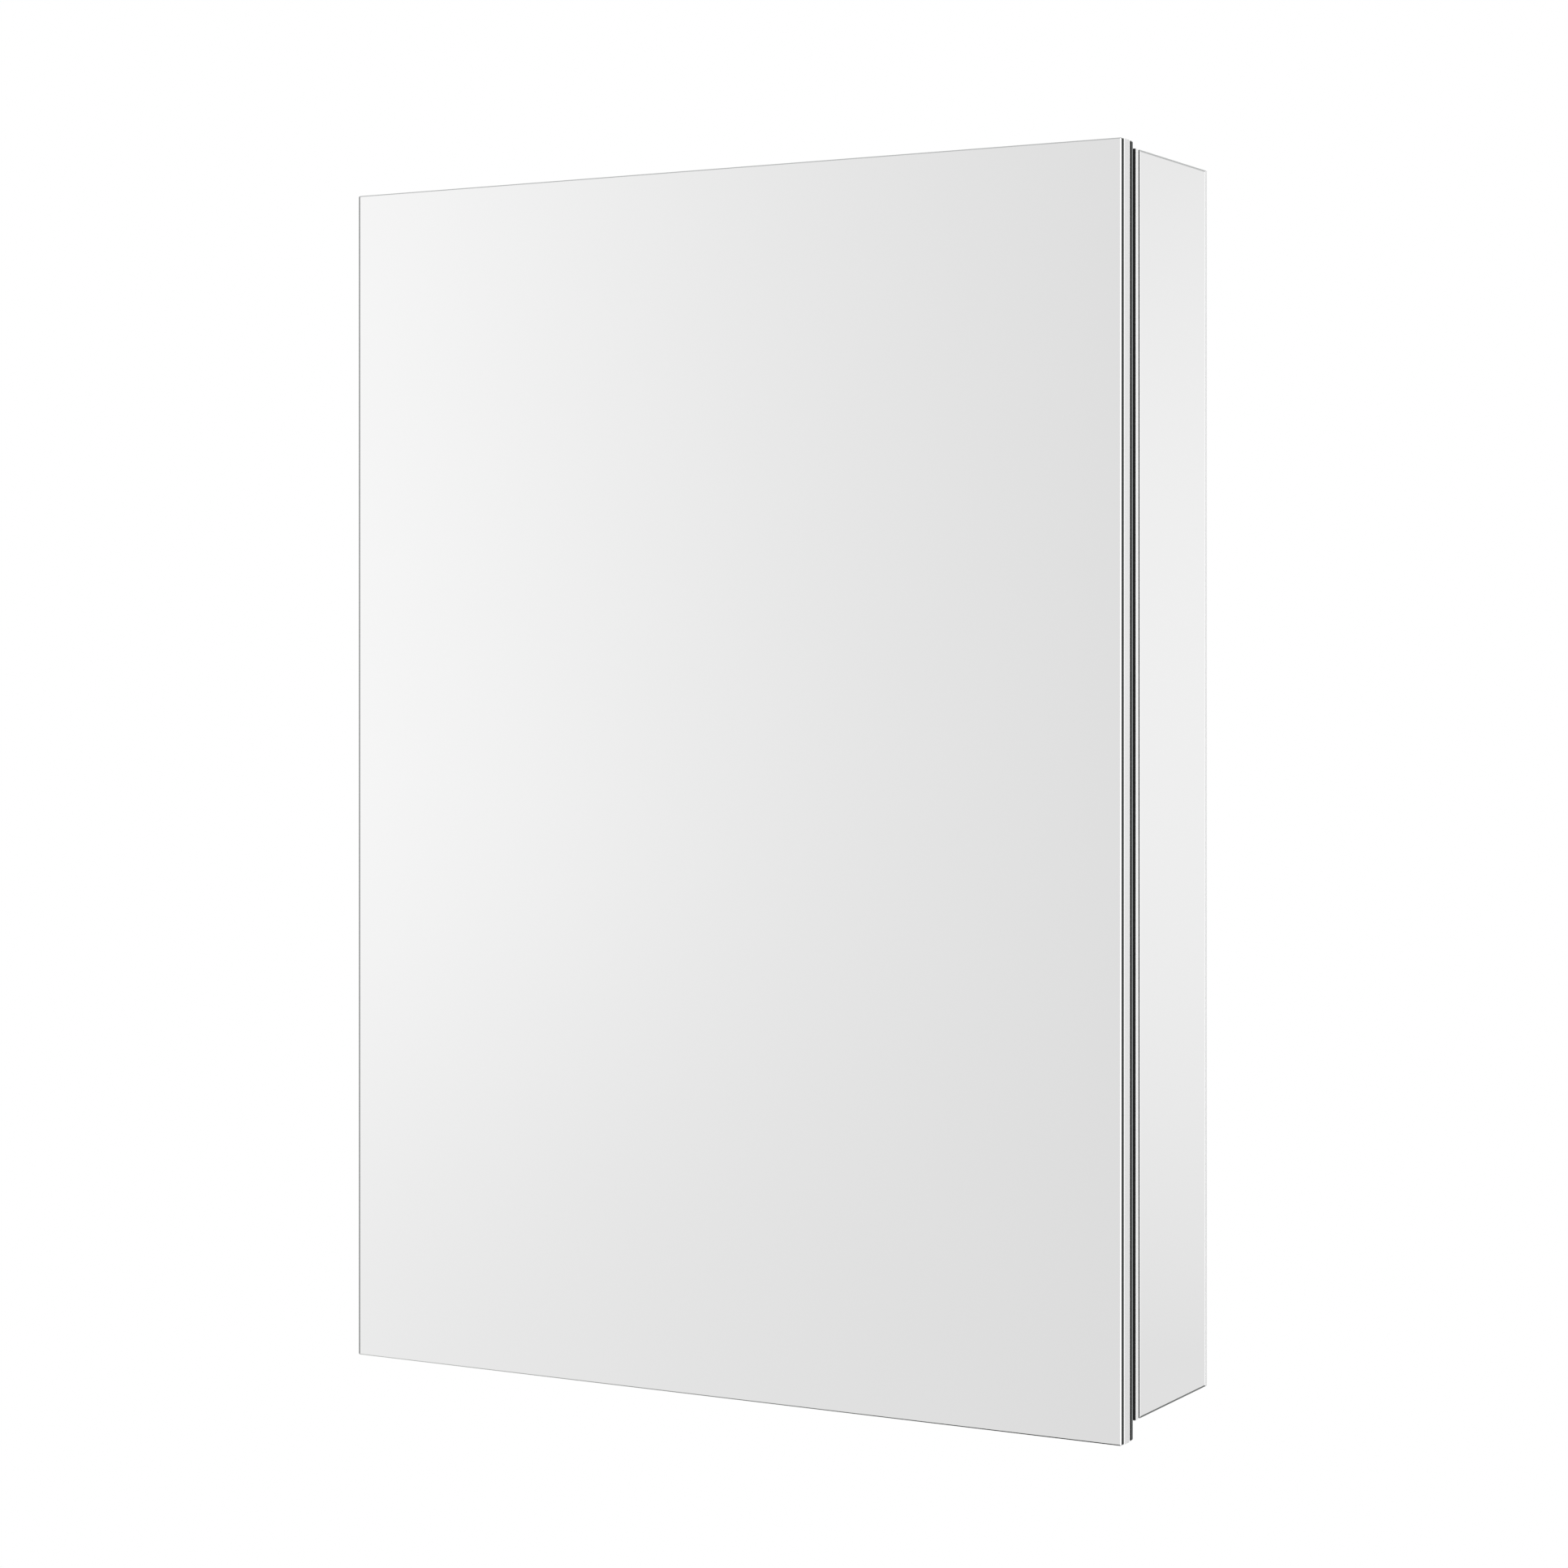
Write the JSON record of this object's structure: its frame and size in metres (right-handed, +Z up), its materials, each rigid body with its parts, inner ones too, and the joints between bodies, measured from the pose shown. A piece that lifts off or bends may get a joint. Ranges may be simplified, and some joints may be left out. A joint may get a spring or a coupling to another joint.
{
  "type": "medicine cabinet with mirror",
  "caption": "Wall-mounted mirror cabinet: one hinged double-sided mirror door, mirrored sides, aluminium body, glass shelves and a mirrored back.",
  "frame": {"origin": "on the wall face of the back panel, half way across the cabinet and at half the height of the door", "axes": "+Z up, -Y out of the wall towards the user (the door's front face), +X to the right seen from the front"},
  "size_m": [0.5, 0.1225, 0.7],
  "materials": {
    "door_mirror": "silvered front mirror with a ground edge",
    "side_mirror": "silvered side mirror with a ground edge",
    "inner_mirror": "silvered mirror",
    "aluminium": "satin anodised",
    "door_aluminium": "satin anodised",
    "back_sheet": "light grey coated sheet",
    "seal_rubber": "matt black",
    "shelf_glass": "clear tempered glass with polished edges",
    "steel": "nickel plated",
    "screw_steel": "zinc plated",
    "zinc": "nickel plated zinc casting",
    "white_plastic": "white moulded",
    "magnet_plastic": "dark grey moulded",
    "core_board": "light fibreboard"
  },
  "bodies": {
    "cabinet": {"side_wall_left": "aluminium", "side_wall_right": "aluminium", "top_panel": "aluminium", "bottom_panel": "aluminium", "side_mirror_left": "side_mirror", "side_mirror_right": "side_mirror", "back_panel": "back_sheet", "inner_back_mirror": "inner_mirror", "dust_seal": "seal_rubber", "shelf_1": "shelf_glass", "shelf_2": "shelf_glass", "shelf_1_support_1": "steel", "shelf_1_support_2": "steel", "shelf_1_support_3": "steel", "shelf_1_support_4": "steel", "shelf_2_support_1": "steel", "shelf_2_support_2": "steel", "shelf_2_support_3": "steel", "shelf_2_support_4": "steel", "wall_bush_1": "white_plastic", "wall_bush_2": "white_plastic", "wall_bush_3": "white_plastic", "wall_bush_4": "white_plastic", "magnet_catch": "magnet_plastic", "body_screw_top_left": "screw_steel", "body_screw_top_right": "screw_steel", "body_screw_bottom_left": "screw_steel", "body_screw_bottom_right": "screw_steel", "hinge_upper_arm": "steel", "hinge_upper_plate": "zinc", "hinge_upper_plate_screw_1": "screw_steel", "hinge_upper_plate_screw_2": "screw_steel", "hinge_upper_clamp_screw": "screw_steel", "hinge_lower_arm": "steel", "hinge_lower_plate": "zinc", "hinge_lower_plate_screw_1": "screw_steel", "hinge_lower_plate_screw_2": "screw_steel", "hinge_lower_clamp_screw": "screw_steel"},
    "door": {"door_front_mirror": "door_mirror", "door_back_mirror": "inner_mirror", "door_stile_free": "door_aluminium", "door_stile_hinge": "door_aluminium", "door_rail_top": "door_aluminium", "door_rail_bottom": "door_aluminium", "door_core": "core_board", "door_key_top_hinge": "zinc", "door_key_top_free": "zinc", "door_key_bottom_hinge": "zinc", "door_key_bottom_free": "zinc", "strike_plate": "steel", "hinge_upper_cup": "zinc", "hinge_upper_cup_screw_1": "screw_steel", "hinge_upper_cup_screw_2": "screw_steel", "hinge_upper_pin": "steel", "hinge_lower_cup": "zinc", "hinge_lower_cup_screw_1": "screw_steel", "hinge_lower_cup_screw_2": "screw_steel", "hinge_lower_pin": "steel"}
  },
  "joints": [
    {"name": "door_hinge", "type": "hinge", "parent": "cabinet", "child": "door", "pos_m": [-0.243, -0.1135, 0], "axis": [0, 0, -1], "range_deg": [0, 105]}
  ]
}
